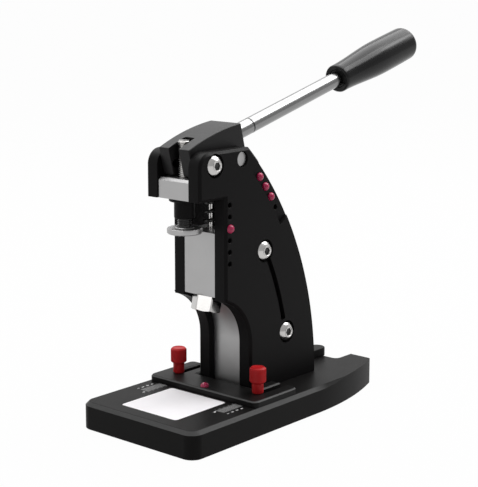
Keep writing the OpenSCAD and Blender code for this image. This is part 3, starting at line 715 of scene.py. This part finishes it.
@dataclass
class SideFrame(Assembly):
    """The two side plates and the steel spacers between them."""

    inner: float = 16.0
    outer: float = 28.0
    height: float = 197.0
    nose_front: float = -13.1
    nose_under: float = 160.0
    nose_corner: float = 12.0
    body_front: float = 16.1
    throat_back: float = 45.3
    throat_radius: float = 40.5
    throat_z: float = 39.8
    back_radius: float = 270.0
    back_y: float = -140.5
    chamfer: float = 2.0
    edge: float = 0.6
    upper_screw: Pair = (63.1, 112.5)
    lower_screw: Pair = (90.7, 41.3)
    nose_screw: Pair = (4.5, 186.5)
    pivot: Pair = (35.7, 188.6)
    pivot_radius: float = 6.1
    seat_radius: float = 9.25
    screw_recess: float = 2.5
    groove_half: float = 2.5
    groove_depth: float = 4.0
    groove_start: float = 13.0
    # The upright row of index holes
    row_inset: float = 4.8
    row_low: float = 108.6
    row_step: float = 9.2
    # The rear pocket, with its holes set by their angle about the centre of the rear curve
    pocket_width: float = 12.0
    pocket_depth: float = 3.0
    pocket_span: Pair = (30.6, 43.2)
    rear_inset: float = 6.7
    rear_start: float = 33.5
    rear_step: float = 2.42
    spacer_top: float = 131.8
    joint_height: float = 81.0
    joint_tilt: float = 15.0
    inset: float = 6.0
    spacer_back: float = 8.0

    def ring(self, outside: float, inside: float, span: Pair, depth: float) -> Piece:
        """Build a cutter that follows the rear curve on the right face.

        Args:
            outside: Its outer radius about the curve's centre.
            inside: Its inner radius.
            span: The angles where it starts and ends, in degrees.
            depth: How deep it cuts.

        Returns:
            The cutter.
        """
        x = self.outer - depth
        ring = bar("ring", (x, self.back_y, BASE_TOP), Axis.X, outside, depth + 2, 512)
        combine(ring, bar("hub", (x - 1, self.back_y, BASE_TOP), Axis.X, inside, depth + 4, 512))
        centre = (self.outer, self.back_y, BASE_TOP)
        a, b = (math.radians(angle) for angle in span)
        slice_off(ring, centre, (0, math.sin(a), -math.cos(a)))
        slice_off(ring, centre, (0, -math.sin(b), math.cos(b)))
        return ring

    def arch(self, x: float, extra: float) -> Piece:
        """Build the cutter of the arch from -x to x, so much larger than the arch of the plates."""
        start = (-x, self.throat_back - self.throat_radius, BASE_TOP + self.throat_z)
        return bar("arch", start, Axis.X, self.throat_radius + extra, 2 * x, 192)

    def outline(self) -> Piece:
        """Build the right plate's outline with its soft edges, before its holes.

        Returns:
            The plate.
        """
        top = BASE_TOP + self.height
        plate = block("side_plate_r", (self.inner, self.nose_front, BASE_TOP),
                      (self.outer, self.back_y + self.back_radius, top))
        bevel(plate, self.nose_corner, 14, where=lambda e: e.z > top - 1 and e.y < 0 and e.crosswise)
        low, high = self.inner - 5, self.outer + 5
        combine(plate, bar("back", (low, self.back_y, BASE_TOP), Axis.X, self.back_radius, 30, 720),
                stays=Cut.INSIDE)
        combine(
            plate,
            block("front", (low, -30, -5), (high, self.body_front, BASE_TOP + self.nose_under)),
            block("throat", (low, 0, -5), (high, self.throat_back, BASE_TOP + self.throat_z)),
            self.arch(high, 0.0))
        bevel(plate, self.chamfer, 1, 40, lambda e: e.right > 0.9 and e.z > BASE_TOP + 0.01)
        return bevel(plate, self.edge, 2, 40, lambda e: e.left < -0.9 and e.z > BASE_TOP + 0.01)

    def holes(self, plate: Piece) -> None:
        """Cut the pivot hole and the recesses of the screw heads.

        Args:
            plate: The right plate, or the left one before it is mirrored.
        """
        bore = (self.inner - 2, self.pivot[0], BASE_TOP + self.pivot[1])
        cutters = [bar("bore", bore, Axis.X, self.pivot_radius, 20)]
        for y, z in (self.upper_screw, self.lower_screw, self.nose_screw):
            seat = (self.outer - self.screw_recess, y, BASE_TOP + z)
            cutters.append(bar("seat", seat, Axis.X, self.seat_radius, 6))
        combine(plate, *cutters)

    def plates(self) -> None:
        """Build both side plates."""
        right = self.outline()
        left = copied(right, "side_plate_l", Matrix.Identity(4))
        self.holes(left)
        left.scale = (-1, 1, 1)
        with editing(settle(left)):
            face_outwards()
        y, z = self.upper_screw
        radius = math.hypot(y - self.back_y, z)
        span = (self.groove_start, math.degrees(math.atan2(z, y - self.back_y)))
        groove = self.ring(radius + self.groove_half, radius - self.groove_half, span, self.groove_depth)
        pocket = self.ring(self.back_radius + 3, self.back_radius - self.pocket_width, self.pocket_span,
                           self.pocket_depth)
        combine(right, groove, pocket)
        self.holes(right)
        combine(right, *(self.hole(*self.row_place(i), self.outer) for i in range(6)))
        combine(right, *(self.hole(*self.rear_place(i), self.outer - self.pocket_depth) for i in range(4)))
        self.dress(right, BLACK_PLATE, "side_plate_right")
        self.dress(left, BLACK_PLATE, "side_plate_left")

    def row_place(self, i: int) -> Pair:
        """Give the place of a hole in the upright row."""
        return self.body_front + self.row_inset, self.row_low + self.row_step * i

    def rear_place(self, i: int) -> Pair:
        """Give the place of a hole in the rear pocket."""
        angle, radius = math.radians(self.rear_start + self.rear_step * i), self.back_radius - self.rear_inset
        return self.back_y + radius * math.cos(angle), radius * math.sin(angle)

    def hole(self, y: float, z: float, face: float) -> Piece:
        """Build the cutter of an index hole, with a small countersink in the face that it opens in."""
        stations = [(face - 7, 2.0), (face - 0.45, 2.0), (face, 2.45), (face + 3, 2.45)]
        return turned("index_hole", stations, 32, at(0, y, BASE_TOP + z) @ Axis.X.value)

    def joint_z(self, y: float) -> float:
        """Give the height of the joint between the spacers at a place."""
        return self.joint_height - (y - self.body_front) * math.tan(math.radians(self.joint_tilt))

    def spacers(self) -> None:
        """Build the two spacers."""
        tilt = math.radians(self.joint_tilt)
        joint = (0, self.body_front, BASE_TOP + self.joint_height)
        limit = self.back_radius - self.spacer_back
        far = self.back_y + self.back_radius + 1.5
        upper = block("spacer_u", (-self.inner, self.body_front + 0.4, BASE_TOP),
                      (self.inner, far, BASE_TOP + self.spacer_top))
        lower = block("spacer_l", (-self.inner, self.throat_back - self.throat_radius, BASE_TOP),
                      (self.inner, far, BASE_TOP + self.joint_height + 5))
        for piece in (upper, lower):
            combine(piece, bar("limit", (-20, self.back_y, BASE_TOP), Axis.X, limit, 40, 512),
                    stays=Cut.INSIDE)
        slice_off(upper, joint, (0, -math.sin(tilt), -math.cos(tilt)))
        slice_off(lower, joint, (0, math.sin(tilt), math.cos(tilt)))
        combine(
            lower,
            block("throat", (-20, -5, -5), (20, self.throat_back + self.inset, BASE_TOP + self.throat_z)),
            self.arch(20, self.inset),
            turned("spot", [(-13, 12.6), (1, 12.6)], 64, HexBolt().place()))
        bevel(upper, 0.5, 2)
        bevel(lower, 0.4, 2, where=lambda e: e.z > BASE_TOP + 0.01)
        self.dress(upper, BARE_STEEL, "upper_spacer")
        self.dress(lower, BARE_STEEL, "lower_spacer")

    def build(self) -> None:
        """Build the plates and the spacers."""
        self.plates()
        self.spacers()


@dataclass
class HexBolt(Assembly):
    """The hexagon head in the joint of the spacers."""

    flats: float = 21.0
    height: float = 12.0
    y: float = 26.1

    def place(self) -> Matrix:
        """Give the place of the joint plane under the bolt.

        Returns:
            The place, whose Z points up into the upper spacer.
        """
        joint = SideFrame()
        turn = Matrix.Rotation(-math.radians(joint.joint_tilt), 4, "X")
        return at(0, self.y, BASE_TOP + joint.joint_z(self.y)) @ turn

    def build(self) -> None:
        """Build the head with its chamfered corners."""
        corner = self.flats / math.sqrt(3)
        # The tool's first corner points along Y, and the flats face left and right
        head = bar("hex_head", (0, 0, -self.height), Axis.Z, corner, self.height, 6)
        cone = [(-self.height, corner - 1.7), (-self.height + 1.0, corner + 0.05), (-0.2, corner + 0.05),
                (0, corner - 0.3)]
        combine(head, turned("chamfer", cone, 96), stays=Cut.INSIDE)
        bevel(head, 1.0, 1, where=lambda e: e.upright)
        settle(head, self.place())
        self.dress(head, BRIGHT_STEEL, "hex_bolt", angle=25)


@dataclass
class Fasteners(Assembly):
    """The button screws, the pivot pin, the index pins and the guide post."""

    ball_radius: float = 9.71
    ball_top: float = 5.5
    ball_start: float = 0.35
    ball_end: float = 4.55
    post_radius: float = 3.0

    def button(self) -> Piece:
        """Build one button screw that seats at height zero.

        Returns:
            The screw, still without a finish.
        """
        stations = [(-1.5, 5.0), (-0.01, 5.0), (0, 8.45), (self.ball_start, 8.72)]
        for i in range(1, 9):
            z = self.ball_start + (self.ball_end - self.ball_start) * i / 8
            depth = self.ball_top - z
            stations.append((z, math.sqrt(depth * (2 * self.ball_radius - depth))))
        stations += [(4.75, 4.55), (4.78, 3.95), (4.35, 3.75), (4.3, 3.7)]
        screw = turned("button", stations, 72)
        return combine(screw, bar("socket", (0, 0, 1.6), Axis.Z, 3.35, 6, 6))

    def screws(self) -> None:
        """Place the button screws on both plates, with dark plugs in their sockets as painted shade."""
        plates = SideFrame()
        master = self.button()
        # Dark hexagon plugs sit deep in the sockets: painted shade in the recesses
        socket_shade = turned("hollow", [(1.5, 3.2), (3.0, 3.25), (3.1, 3.1), (2.4, 0.8)], 6)
        seat = plates.outer - plates.screw_recess
        for spots, name, node in (((plates.upper_screw, plates.lower_screw), "frame_buttons", "frame_screws"),
                                  ((plates.nose_screw,), "nose_buttons", "nose_screws")):
            copies, shade_plugs = [], []
            for y, z in spots:
                for x, way in ((seat, Axis.X), (-seat, Axis.LEFT)):
                    place = at(x, y, BASE_TOP + z) @ way.value
                    copies.append(copied(master, "button_copy", place))
                    shade_plugs.append(copied(socket_shade, "hollow_copy", place))
            self.dress(join(name, *copies), BRIGHT_STEEL, node, angle=28)
            self.dress(join(f"{name}_sockets", *shade_plugs), BLACK_STEEL)
        for piece in (master, socket_shade):
            bpy.data.objects.remove(piece, do_unlink=True)

    def dome(self, shank: float) -> list[Pair]:
        """Give the stations of a pin with a domed head, whose shank lies below height zero."""
        arc = [(3.3 * math.sin(a), 3.5 * math.cos(a)) for a in map(math.radians, range(10, 90, 10))]
        return [(-shank, 1.7), (-shank + 0.3, 1.9), (-0.01, 1.9), (0, 3.35), (0.25, 3.5), *arc, (3.3, 0.25)]

    def pins(self) -> None:
        """Build the pivot pin, the index pins and the guide post."""
        plates, spring = SideFrame(), ReturnSpring()
        y, z = plates.pivot
        pivot = turned("pivot", [(-26.2, 5.5), (-25.7, 6.0), (25.7, 6.0), (26.2, 5.5)], 64,
                       at(0, y, BASE_TOP + z) @ Axis.X.value)
        self.dress(pivot, BARE_STEEL, "pivot_pin")
        spots = [(plates.outer, *plates.row_place(3))]
        spots += [(plates.outer - plates.pocket_depth, *plates.rear_place(i)) for i in (1, 2, 3)]
        pins = [turned("index_pin", self.dome(5.5), 40, at(x, y, BASE_TOP + z) @ Axis.X.value)
                for x, y, z in spots]
        self.dress(join("index_pin_set", *pins), MAGENTA, "index_pins", angle=40)
        low, high, radius = spring.low - 20.0, spring.high, self.post_radius
        post = turned("spring_post", [(low, radius - 0.4), (low + 0.4, radius), (high - 0.6, radius),
                                      (high, radius - 0.6)], 48, at(0, spring.y, 0))
        self.dress(post, BRIGHT_STEEL, "guide_post")

    def build(self) -> None:
        """Build all fasteners."""
        self.screws()
        self.pins()


@dataclass
class ReturnSpring(Assembly):
    """The coil spring behind the ram."""

    y: float = 31.2
    low: float = BASE_TOP + 131.8
    high: float = BASE_TOP + 170.0
    radius: float = 7.0
    wire: float = 2.5
    curls: int = 5
    stroke: float = 17.0

    def build(self) -> None:
        """Wind the spring and give it a mesh of its own."""
        thick = self.wire / 2
        middle, start = self.radius - thick, self.low + thick
        pitch = (self.high - self.low - self.wire) / self.curls
        around = [math.tau * i / 16 for i in range(16)]
        profile = [(middle + thick * math.cos(a), start + thick * math.sin(a)) for a in around]
        spring = wound("spring_coil", profile, pitch, self.curls, at(0, self.y, 0))
        self.dress(spring, BLACK_STEEL, "return_spring", angle=60)
        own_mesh(spring)


@dataclass
class Ram(Assembly):
    """The crosshead with its threaded rod, holder and die adapter."""

    body: str = "ram"
    half: float = 15.75
    front: float = -12.1
    back: float = 43.5
    low: float = BASE_TOP + 160.0
    high: float = BASE_TOP + 176.0
    rod_top: float = BASE_TOP + 204.5
    pitch: float = 1.5
    pin_rise: float = 27.2
    # The radii of the crosshead's holes for the rod, the spring and the guide post
    rod_room: float = 5.1
    spring_room: float = 7.6
    post_room: float = 3.05

    def place(self) -> Matrix:
        """Give the place of the crosshead's underside, from which the turned pieces hang."""
        return at(0, 0, self.low)

    def crosshead(self) -> None:
        """Build the crosshead block."""
        y, below = ReturnSpring().y, self.low - 5
        cross = block("ram_block", (-self.half, self.front, self.low), (self.half, self.back, self.high))
        bevel(cross, 2.0, 1, where=lambda e: e.z > self.high - 0.1 and e.y < self.front + 0.1)
        bevel(cross, 0.4, 2, least=60)
        combine(cross, bar("bore", (0, 0, below), Axis.Z, self.rod_room, 30),
                bar("pocket", (0, y, below), Axis.Z, self.spring_room, 15),
                bar("post_bore", (0, y, below), Axis.Z, self.post_room, 30))
        self.dress(cross, BARE_STEEL, "crosshead")

    def rod(self) -> None:
        """Build the threaded rod and the pin through it."""
        top, pin_z = self.rod_top, self.low + self.pin_rise
        core = turned("rod_core", [
            (self.low - 23.0, 3.8), (top - 1.5, 3.8), (top - 1.2, 4.4), (top, 4.0)], 48)
        start, half = self.low + 10.0, self.pitch * 0.42
        turns = int((top - 1.2 - start) / self.pitch)
        ridge = [(3.5, start), (5.0, start + 0.86 * half), (5.0, start + 1.14 * half),
                 (3.5, start + 2 * half)]
        thread = wound("rod_thread", ridge, self.pitch, turns)
        combine(core, bar("cross_bore", (-9, 0, pin_z), Axis.X, 2.6, 18, 32))
        self.dress(join("ram_screw", core, thread), BRIGHT_STEEL, "ram_rod", angle=30)
        pin = turned("cross_bar", [(-15, 2.1), (-14.6, 2.5), (14.6, 2.5), (15, 2.1)], 40,
                     at(0, 0, pin_z) @ Axis.X.value)
        self.dress(pin, BRIGHT_STEEL, "cross_pin")

    def holder(self) -> None:
        """Build the flange and the holder under the crosshead."""
        flange = turned("flange", [(-2.3, 11.5), (-1.8, 12.0), (0.0, 12.0)], 72, self.place())
        self.dress(flange, BLACK_PLATE, "ram_flange")
        sleeve = turned("sleeve", [(-15.5, 7.5), (-14.9, 8.1), (-2.3, 8.1)], 72, self.place())
        self.dress(sleeve, BLACK_PLATE, "ram_holder")

    def adapter(self) -> None:
        """Build the die adapter with its disc and its threaded neck."""
        disc = turned("adapter_disc", [
            (-27.5, 12.8), (-26.9, 13.5), (-26.6, 13.65), (-23.7, 13.65), (-23.2, 13.3), (-23.0, 12.9),
            (-23.0, 7.6), (-22.5, 7.3), (-22.3, 6.9), (-22.3, 5.6)], 96, self.place())
        combine(disc, bar("socket", (0, 0, self.low - 30.0), Axis.Z, 3.0, 11.5, 48))
        self.dress(disc, BARE_STEEL, "die_adapter")
        core = turned("neck_core", [(-22.8, 5.0), (-15.5, 5.0)], 48, self.place())
        ridge = [(4.8, -22.4), (5.5, -21.8), (5.5, -21.6), (4.8, -21.0)]
        thread = wound("neck_thread", ridge, self.pitch, 4, self.place())
        self.dress(join("adapter_neck", core, thread), BLACK_STEEL, angle=30)

    def build(self) -> None:
        """Build all pieces of the ram."""
        self.crosshead()
        self.rod()
        self.holder()
        self.adapter()


@dataclass
class Lever(Assembly):
    """The lever head, its steel rod and its grip, along the lever's own frame."""

    body: str = "lever"
    tilt: float = 14.7
    pivot_y: float = 35.7
    pivot_z: float = BASE_TOP + 188.6
    half: float = 15.75
    front: float = -43.35
    back: float = 18.3
    crown: float = 24.3
    crown_radius: float = 200.0
    low: float = BASE_TOP + 177.5
    fork_half: float = 5.3
    fork_back: float = -23.6
    # The slot of the cross pin: the pin's place at both of its ends, and its half width
    slot_span: Pair = (-38.75, -35.35)
    slot_z: float = 7.975
    slot_half: float = 3.5
    pivot_room: float = 6.05
    rise: float = 9.4
    rod_radius: float = 6.5
    rod_gap: float = 0.1
    mark: float = 24.5
    free: float = 144.5
    seat: float = 12.0

    def place(self) -> Matrix:
        """Give the lever's frame, whose Y runs along the rod from the pivot."""
        return at(0, self.pivot_y, self.pivot_z) @ Matrix.Rotation(math.radians(self.tilt), 4, "X")

    def along(self, y: float) -> Matrix:
        """Give the place on the rod's axis at a distance from the pivot."""
        return self.place() @ at(0, y, self.rise) @ Axis.Y.value

    def head(self) -> None:
        """Build the lever head with its crown, fork and slot."""
        head = block("head", (-self.half, self.front, -30), (self.half, self.back, self.crown + 1))
        middle = (self.front + self.back) / 2
        combine(head, bar("crown", (-20, middle, self.crown - self.crown_radius), Axis.X,
                          self.crown_radius, 40, 720), stays=Cut.INSIDE)
        t = math.radians(self.tilt)
        below = (self.low - self.pivot_z - 8 * math.sin(t)) / math.cos(t)
        slice_off(head, (0, 8, below), (0, -math.sin(t), -math.cos(t)))
        rear = Vector((0, -2.1 - below, -(self.back - 8))).normalized()
        slice_off(head, (0, 8, below), (0, rear.y, rear.z))
        bevel(head, 0.9, 3, least=12)
        fork = block("fork", (-self.fork_half, self.front - 9, -60), (self.fork_half, self.fork_back, 60))
        bevel(fork, 1.5, 4, where=lambda e: e.upright)
        (first, last), z, wide = self.slot_span, self.slot_z, self.slot_half
        slot = block("pin_slot", (-20, first - wide, z - wide), (20, last + wide, z + wide))
        bevel(slot, wide - 0.02, 8, where=lambda e: e.crosswise)
        combine(
            head, fork, slot, bar("pivot_bore", (-20, 0, 0), Axis.X, self.pivot_room, 40),
            bar("rod_bore", (0, self.back - self.seat, self.rise), Axis.Y,
                self.rod_radius + self.rod_gap, 20))
        settle(head, self.place())
        self.dress(head, BLACK_CROWN, "lever_head")

    def rod(self) -> None:
        """Build the steel rod with its turned groove, and a black ring in the groove as painted shade."""
        start, end = self.back - self.seat + 0.1, self.back + self.free + self.seat - 0.2
        mark, radius = self.back + self.mark, self.rod_radius
        rod = turned("lever_bar", [
            (start, radius - 0.5), (start + 0.5, radius), (mark - 0.1, radius), (mark, radius - 0.5),
            (mark + 1.2, radius - 0.5), (mark + 1.3, radius), (end - 0.5, radius), (end, radius - 0.5)], 72,
                     self.along(0))
        self.dress(rod, ROD_STEEL, "lever_rod")
        # A black ring just inside the groove: painted shade in the recess
        ring = turned("groove_shade_ring", [
            (mark + 0.1, radius - 0.3), (mark + 0.2, radius - 0.15), (mark + 1.0, radius - 0.15),
            (mark + 1.1, radius - 0.3)], 48, self.along(0))
        self.dress(ring, BLACK_STEEL)

    def grip(self) -> None:
        """Build the grip with the recess at its neck."""
        neck, most, length, end, lip = 12.1, 15.25, 107.0, 6.0, 1.6
        tip, swell = most * 0.98, length * 0.6
        stations = [(lip, 6.8), (1.5, 7.6), (0.9, 7.9), (0.5, 8.4), (0.45, 9.7), (0.1, 10.1), (0.0, 10.7),
                    (0.5, 11.6), (lip, neck)]
        for i in range(1, 25):
            t = i / 24
            stations.append((lip + (swell - lip) * t, neck + (most - neck) * (1 - math.cos(math.pi * t)) / 2))
        for i in range(1, 9):
            t = i / 8
            stations.append((swell + (length - end - swell) * t, most - (most - tip) * t * t))
        for i in range(1, 13):
            a = math.pi / 2 * i / 12
            stations.append((length - end + end * math.sin(a), tip - end + end * math.cos(a)))
        grip = turned("grip", stations, 96, self.along(self.back + self.free))
        self.dress(grip, GRIP_BLACK, "lever_grip", angle=40)

    def build(self) -> None:
        """Build all pieces of the lever."""
        self.head()
        self.rod()
        self.grip()


@dataclass
class BackStop(Assembly):
    """The sliding stop plate with its pin."""

    body: str = "back_stop"
    half: float = 57.0
    front: float = 16.8
    back: float = 69.3
    low: float = BASE_TOP + 0.1
    high: float = BASE_TOP + 5.3
    corner: float = 5.0
    edge: float = 1.1
    slot_x: float = 42.5
    slot_half: float = 3.5
    slot_front: float = 33.5
    foot_half: float = 29.5
    foot_front: float = 43.8
    pin_inset: float = 5.2

    def build(self) -> None:
        """Build the plate and its pin."""
        plate = block("stop", (-self.half, self.front, self.low), (self.half, self.back, self.high))
        bevel(plate, self.corner, 8, where=lambda e: e.upright)
        combine(plate, block("foot", (-self.foot_half, self.foot_front, 10), (self.foot_half, 90, 40)))
        for x in (-self.slot_x, self.slot_x):
            slot = block("slot", (x - self.slot_half, self.slot_front, 10), (x + self.slot_half, 90, 40))
            bevel(slot, self.slot_half - 0.02, 8, where=lambda e: e.upright and e.y < self.slot_front + 1)
            combine(plate, slot)
        bevel(plate, self.edge, 1, where=lambda e: e.z > self.high - 0.01)
        self.dress(plate, BLACK_STOP, "stop_plate")
        knob = turned("stop_knob", Fasteners().dome(3.6), 40, at(0, self.front + self.pin_inset, self.high))
        self.dress(knob, MAGENTA, "stop_pin", angle=40)


@dataclass
class ThumbScrew(Assembly):
    """A red thumb screw with a knurled head."""

    x: float = 42.5
    y: float = 37.0
    seat: float = BASE_TOP + 5.5
    node: str = "thumb_screw_right"
    # The knurl: twice its number of ridges, and the share of the radius that is left between them
    sides: int = 96
    knurl: float = 0.965

    def build(self) -> None:
        """Build the screw and cut its knurl."""
        z = self.seat
        shank = turned("shank", [(BASE_TOP - 11.7, 2.0), (BASE_TOP - 11.2, 2.5), (z - 0.1, 2.5)], 32)
        stem = turned("stem", [(z, 4.2), (z + 0.4, 4.6), (z + 7.7, 4.6), (z + 8.4, 5.0)], 48)
        head = turned("head", [
            (z + 8.6, 4.7), (z + 8.7, 5.7), (z + 9.3, 6.35), (z + 9.6, 6.5), (z + 19.2, 6.5), (z + 19.8, 6.3),
            (z + 20.8, 5.2), (z + 20.8, 4.7), (z + 20.5, 4.5)], self.sides)
        with editing(head):
            for vertex in bmesh.from_edit_mesh(head.data).verts:
                turn = round(math.atan2(vertex.co.y, vertex.co.x) / math.tau * self.sides)
                vertex.select_set(turn % 2 == 1 and vertex.co.xy.length > 6.45 * MM)
            bmesh.update_edit_mesh(head.data)
            bpy.ops.transform.resize(value=(self.knurl, self.knurl, 1), center_override=(0, 0, z * MM))
        screw = join(f"{self.body}_knob", stem, head, shank)
        settle(screw, at(self.x, self.y, 0))
        self.dress(screw, RED, self.node, angle=25)


@dataclass
class Studio:
    """The floor, the light and the camera."""

    eye: Triple = (712.26, -756.49, 356.04)
    aim: Triple = (0.0, 63.5, 175.39)
    lens: float = 101.86
    shift_y: float = -0.0986
    # The middle of the press, which the lamps point at
    middle: Triple = (0.0, 60.0, 120.0)
    # The world's strength where the object is lit by it, and the floor's share of plain white
    ambient: float = 0.2
    floor_white: float = 0.98

    def rays(self, recipe: Recipe) -> list[Term]:
        """Tell the rays of the camera, of reflections and through glass apart."""
        path = recipe.node("LightPath", {}, {})
        return [recipe.term(path, f"Is {kind} Ray") for kind in ("Camera", "Glossy", "Transmission")]

    def world(self) -> None:
        """Make the world white behind the object and even around it."""
        world = bpy.data.worlds.new("studio")
        bpy.context.scene.world = world
        world.use_nodes = True
        recipe = Recipe(world.node_tree)
        across = recipe.take("SeparateXYZ", {0: recipe.take("TexCoord", {}, "Generated")}, "X")
        camera, glossy, passed = self.rays(recipe)
        # Reflections see the world a little dimmer towards the right, where the studio is open
        open_side = (0.85 - across * 0.55).within(0.45, 1.0)
        white = camera.above(glossy * open_side).above(passed)
        back = recipe.take("Background", {
            "Color": (1, 1, 1, 1), "Strength": white * (1.0 - self.ambient) + self.ambient})
        recipe.node("OutputWorld", {}, {"Surface": back})

    def floor(self) -> None:
        """Lay the pale floor, which keeps a soft shadow."""
        bpy.ops.mesh.primitive_plane_add(size=60, location=(0, 0, -0.0002))
        floor = fresh("studio_floor")
        paint = bpy.data.materials.new("pale_floor")
        paint.use_nodes = True
        recipe = Recipe(paint.node_tree)
        matte = recipe.take("BsdfDiffuse", {"Color": (0.50, 0.50, 0.50, 1)})
        glow = recipe.take("Emission", {"Color": (1, 1, 1, 1), "Strength": 1.0})
        camera, glossy, passed = self.rays(recipe)
        share = camera.above(glossy).above(passed) * self.floor_white
        both = recipe.take("MixShader", {0: share, 1: matte, 2: glow})
        recipe.node("OutputMaterial", {}, {"Surface": both})
        floor.data.materials.append(paint)

    def lamp(self, name: str, spot: Triple, width: float, height: float, radiance: float) -> None:
        """Hang a soft lamp that points at the middle of the press.

        Args:
            name: The lamp's name.
            spot: Its place in metres.
            width: Its width in metres.
            height: Its height in metres.
            radiance: How bright its face looks.
        """
        data = bpy.data.lights.new(name, "AREA")
        data.shape, data.size, data.size_y = "RECTANGLE", width, height
        data.energy = radiance * math.pi * width * height
        lamp = bpy.data.objects.new(name, data)
        bpy.context.scene.collection.objects.link(lamp)
        lamp.location = spot
        way = Vector(self.middle) * MM - Vector(spot)
        lamp.rotation_euler = way.to_track_quat("-Z", "Y").to_euler()
        lamp.visible_camera = False

    def camera(self) -> None:
        """Set up the camera at the photograph's viewing angle."""
        data = bpy.data.cameras.new("view_of_press")
        data.lens, data.sensor_width, data.sensor_fit = self.lens, 36.0, "AUTO"
        data.shift_y = self.shift_y
        data.clip_end = 100.0
        camera = bpy.data.objects.new("view_of_press", data)
        bpy.context.scene.collection.objects.link(camera)
        eye, aim = Vector(self.eye) * MM, Vector(self.aim) * MM
        camera.location = eye
        camera.rotation_euler = (aim - eye).to_track_quat("-Z", "Y").to_euler()
        bpy.context.scene.camera = camera

    def build(self) -> None:
        """Set up the whole studio."""
        bpy.context.scene.view_settings.view_transform = "Standard"
        self.camera()
        self.world()
        self.floor()
        self.lamp("overhead_softbox", (-0.35, 0.35, 1.55), 2.2, 1.9, 3.0)
        self.lamp("front_softbox", (0.62, -1.66, 0.62), 0.7, 0.5, 1.6)
        self.lamp("right_softbox", (0.62, 0.90, 1.30), 0.7, 0.45, 6.0)
        self.lamp("back_softbox", (0.30, 1.45, 1.25), 1.0, 0.6, 4.0)
        LOG.info("studio ready")


def main() -> None:
    """Build the press, piece by piece, and note how many pieces each part has."""
    logging.basicConfig(level=logging.INFO, format="%(name)s: %(message)s")
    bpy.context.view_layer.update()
    Studio().build()
    parts: list[Assembly] = [
        BasePlate(), SideFrame(), HexBolt(), Fasteners(), ReturnSpring(), Ram(), Lever(), BackStop(),
        ThumbScrew(body="thumb_left", x=-42.5, node="thumb_screw_left"),
        ThumbScrew(body="thumb_right", x=42.5, node="thumb_screw_right")]
    for part in parts:
        part.build()
        LOG.info("%s done, %d pieces", type(part).__name__, len(part.made))


if __name__ == "__main__":
    main()
